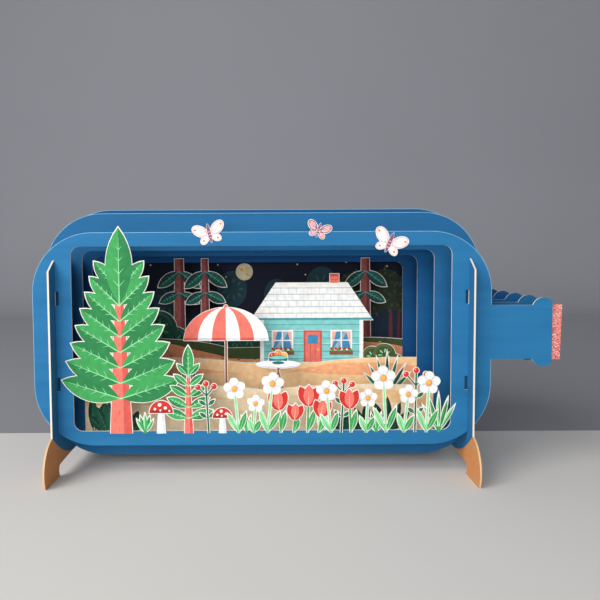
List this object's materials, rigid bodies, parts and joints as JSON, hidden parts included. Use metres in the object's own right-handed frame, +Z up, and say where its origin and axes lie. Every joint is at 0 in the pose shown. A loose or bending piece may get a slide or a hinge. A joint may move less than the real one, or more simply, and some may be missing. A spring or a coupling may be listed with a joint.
{
  "type": "greeting card",
  "caption": "Free-standing layered greeting card: a bottle on its side made of slotted die-cut sheets with a scene inside, on two side panels with legs.",
  "frame": {"origin": "on the surface that the legs stand on, under the middle of the whole card", "axes": "+X along the bottle from its base to its cork, -Y is the front, +Z up"},
  "size_m": [0.2102, 0.0924, 0.1088],
  "materials": {
    "front_board": "matt print",
    "inner_board": "matt print",
    "back_board": "matt print",
    "panel_board": "matt print",
    "glitter_board": "glitter"
  },
  "bodies": {
    "root": {"front_layer": "front_board", "second_layer": "inner_board", "third_layer": "inner_board", "fourth_layer": "inner_board", "back_layer": "back_board", "left_side_panel": "panel_board", "right_side_panel": "panel_board", "glitter_cork": "glitter_board"}
  },
  "joints": []
}
